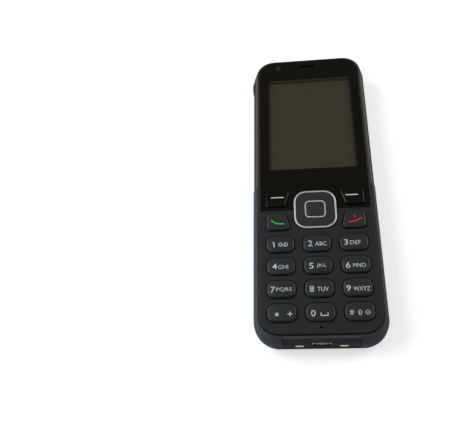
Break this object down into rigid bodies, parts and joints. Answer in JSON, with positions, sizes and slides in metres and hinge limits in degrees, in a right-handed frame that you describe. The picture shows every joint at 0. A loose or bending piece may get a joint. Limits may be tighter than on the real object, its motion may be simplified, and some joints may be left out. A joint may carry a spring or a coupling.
{
  "type": "mobile phone",
  "caption": "Keypad mobile phone in one straight body, with display, soft keys, rocking navigation key, number keys and a battery cover that slides off.",
  "frame": {"origin": "back plane, under the middle of the outline, with the phone lying on its back", "axes": "+Z out of the display, +Y towards the earpiece end, +X to the user's right"},
  "size_m": [0.0525, 0.1394, 0.0149],
  "materials": {
    "housing": "fine matt texture",
    "rear_shell": "fine matt texture",
    "cover_shell": "matt, slightly rubbery",
    "lens": "clear, printed black on the back outside the window",
    "display": "unlit display behind polariser",
    "foam": "closed-cell foam",
    "camera_glass": "clear window with a printed rim",
    "camera": "black lens barrel",
    "mesh": "dark woven mesh",
    "speaker": "plastic frame and steel yoke",
    "keycap": "satin, printed",
    "gloss_key": "gloss black, printed line",
    "nav": "satin black",
    "silver": "satin silver plating",
    "silicone": "translucent silicone",
    "film": "polyester film with snap domes",
    "board": "glass-epoxy board with solder mask",
    "can": "tinned steel",
    "black_plastic": "moulded black plastic",
    "steel": "steel",
    "brass_insert": "brass, the contacts gold plated",
    "light": "clear or phosphor-yellow resin",
    "battery": "plain wrapped cell",
    "side_keycap": "satin"
  },
  "bodies": {
    "root": {"front_housing": "housing", "rear_housing": "rear_shell", "display_lens": "lens", "display_module": "display", "display_gasket": "foam", "camera_window": "camera_glass", "front_camera": "camera", "rear_camera": "camera", "earpiece_mesh": "mesh", "earpiece_speaker": "speaker", "loudspeaker": "speaker", "keypad_mat": "silicone", "dome_sheet": "film", "main_board": "board", "shield_cans": "can", "data_socket": "can", "sim_holder": "can", "memory_card_holder": "can", "vibration_motor": "can", "headset_socket": "black_plastic", "battery_contacts": "black_plastic", "side_switch": "black_plastic", "housing_screws": "steel", "microphone": "steel", "screw_inserts": "brass_insert", "charging_contacts": "brass_insert", "antenna": "brass_insert", "keypad_lights": "light", "flash_light": "light", "flash_guide": "light", "battery": "battery"},
    "battery_cover": {"battery_cover": "cover_shell"},
    "side_key": {"side_key": "side_keycap"},
    "nav_rocker": {"nav_rocker": "silicone"},
    "nav_key": {"nav_key": "nav", "nav_ring": "silver", "ok_frame": "silver"},
    "key_1": {"key_1": "keycap"},
    "key_2": {"key_2": "keycap"},
    "key_3": {"key_3": "keycap"},
    "key_4": {"key_4": "keycap"},
    "key_5": {"key_5": "keycap"},
    "key_6": {"key_6": "keycap"},
    "key_7": {"key_7": "keycap"},
    "key_8": {"key_8": "keycap"},
    "key_9": {"key_9": "keycap"},
    "key_star": {"key_star": "keycap"},
    "key_0": {"key_0": "keycap"},
    "key_hash": {"key_hash": "keycap"},
    "call_key": {"call_key": "keycap"},
    "end_key": {"end_key": "keycap"},
    "soft_key_left": {"soft_key_left": "gloss_key"},
    "soft_key_right": {"soft_key_right": "gloss_key"},
    "ok_key": {"ok_key": "nav"}
  },
  "joints": [
    {"name": "key_1_press", "type": "slide", "parent": "root", "child": "key_1", "axis": [0, 0, -1], "range_m": [0, 0.00035], "stiffness_N_per_m": 200, "springref_m": -0.0008},
    {"name": "key_2_press", "type": "slide", "parent": "root", "child": "key_2", "axis": [0, 0, -1], "range_m": [0, 0.00035], "stiffness_N_per_m": 200, "springref_m": -0.0008},
    {"name": "key_3_press", "type": "slide", "parent": "root", "child": "key_3", "axis": [0, 0, -1], "range_m": [0, 0.00035], "stiffness_N_per_m": 200, "springref_m": -0.0008},
    {"name": "key_4_press", "type": "slide", "parent": "root", "child": "key_4", "axis": [0, 0, -1], "range_m": [0, 0.00035], "stiffness_N_per_m": 200, "springref_m": -0.0008},
    {"name": "key_5_press", "type": "slide", "parent": "root", "child": "key_5", "axis": [0, 0, -1], "range_m": [0, 0.00035], "stiffness_N_per_m": 200, "springref_m": -0.0008},
    {"name": "key_6_press", "type": "slide", "parent": "root", "child": "key_6", "axis": [0, 0, -1], "range_m": [0, 0.00035], "stiffness_N_per_m": 200, "springref_m": -0.0008},
    {"name": "key_7_press", "type": "slide", "parent": "root", "child": "key_7", "axis": [0, 0, -1], "range_m": [0, 0.00035], "stiffness_N_per_m": 200, "springref_m": -0.0008},
    {"name": "key_8_press", "type": "slide", "parent": "root", "child": "key_8", "axis": [0, 0, -1], "range_m": [0, 0.00035], "stiffness_N_per_m": 200, "springref_m": -0.0008},
    {"name": "key_9_press", "type": "slide", "parent": "root", "child": "key_9", "axis": [0, 0, -1], "range_m": [0, 0.00035], "stiffness_N_per_m": 200, "springref_m": -0.0008},
    {"name": "key_star_press", "type": "slide", "parent": "root", "child": "key_star", "axis": [0, 0, -1], "range_m": [0, 0.00035], "stiffness_N_per_m": 200, "springref_m": -0.0008},
    {"name": "key_0_press", "type": "slide", "parent": "root", "child": "key_0", "axis": [0, 0, -1], "range_m": [0, 0.00035], "stiffness_N_per_m": 200, "springref_m": -0.0008},
    {"name": "key_hash_press", "type": "slide", "parent": "root", "child": "key_hash", "axis": [0, 0, -1], "range_m": [0, 0.00035], "stiffness_N_per_m": 200, "springref_m": -0.0008},
    {"name": "call_key_press", "type": "slide", "parent": "root", "child": "call_key", "axis": [0, 0, -1], "range_m": [0, 0.00035], "stiffness_N_per_m": 200, "springref_m": -0.0008},
    {"name": "end_key_press", "type": "slide", "parent": "root", "child": "end_key", "axis": [0, 0, -1], "range_m": [0, 0.00035], "stiffness_N_per_m": 200, "springref_m": -0.0008},
    {"name": "soft_key_left_press", "type": "slide", "parent": "root", "child": "soft_key_left", "axis": [0, 0, -1], "range_m": [0, 0.00035], "stiffness_N_per_m": 200, "springref_m": -0.0008},
    {"name": "soft_key_right_press", "type": "slide", "parent": "root", "child": "soft_key_right", "axis": [0, 0, -1], "range_m": [0, 0.00035], "stiffness_N_per_m": 200, "springref_m": -0.0008},
    {"name": "ok_key_press", "type": "slide", "parent": "root", "child": "ok_key", "axis": [0, 0, -1], "range_m": [0, 0.00035], "stiffness_N_per_m": 200, "springref_m": -0.0008},
    {"name": "side_key_press", "type": "slide", "parent": "root", "child": "side_key", "axis": [1, 0, 0], "range_m": [0, 0.0003], "stiffness_N_per_m": 200, "springref_m": -0.0008},
    {"name": "nav_left_right", "type": "hinge", "parent": "root", "child": "nav_rocker", "pos_m": [0, -0.01429, 0.0116], "axis": [0, 1, 0], "range_deg": [-1.8, 1.8], "stiffness_Nm_per_rad": 0.01},
    {"name": "nav_up_down", "type": "hinge", "parent": "nav_rocker", "child": "nav_key", "pos_m": [0, -0.01429, 0.0116], "axis": [1, 0, 0], "range_deg": [-1.8, 1.8], "stiffness_Nm_per_rad": 0.01},
    {"name": "battery_cover_slide", "type": "slide", "parent": "root", "child": "battery_cover", "axis": [0, -1, 0], "range_m": [0, 0.074]}
  ]
}
